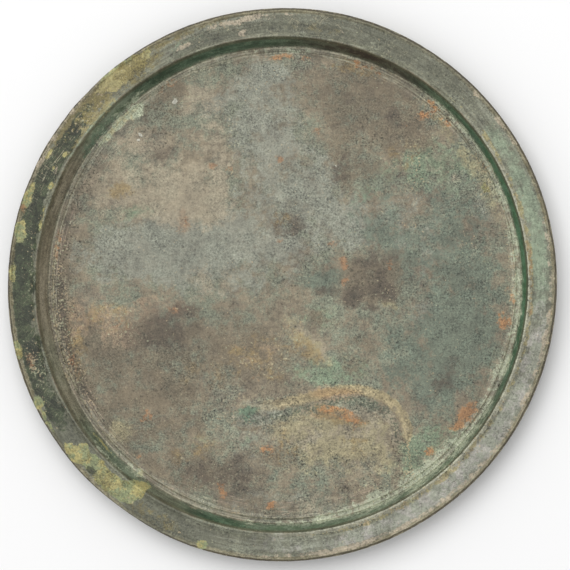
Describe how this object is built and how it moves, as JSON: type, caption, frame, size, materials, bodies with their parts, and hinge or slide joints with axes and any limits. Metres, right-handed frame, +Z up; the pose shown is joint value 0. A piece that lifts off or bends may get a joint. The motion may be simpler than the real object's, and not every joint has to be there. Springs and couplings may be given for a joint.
{
  "type": "ancient bronze mirror",
  "caption": "Round patinated bronze mirror with a sunk flat face, two turned rings at its edge, a steep wall, a raised lip and a shallow hollow rim with a bead; lies flat.",
  "frame": {"origin": "centre of the flat underside, which the mirror lies on", "axes": "+Z up, out of the sunk face, along the axis it was turned about; +Y to the twelve o'clock of the face as it is looked down on, +X to its three o'clock"},
  "size_m": [0.18, 0.18, 0.0098],
  "materials": {
    "patinated_bronze": "matt grey-green patina with brown and blue-grey clouds, dark green smooth patches, pale green crusts and small copper-red spots"
  },
  "bodies": {
    "root": {"mirror": "patinated_bronze"}
  },
  "joints": []
}
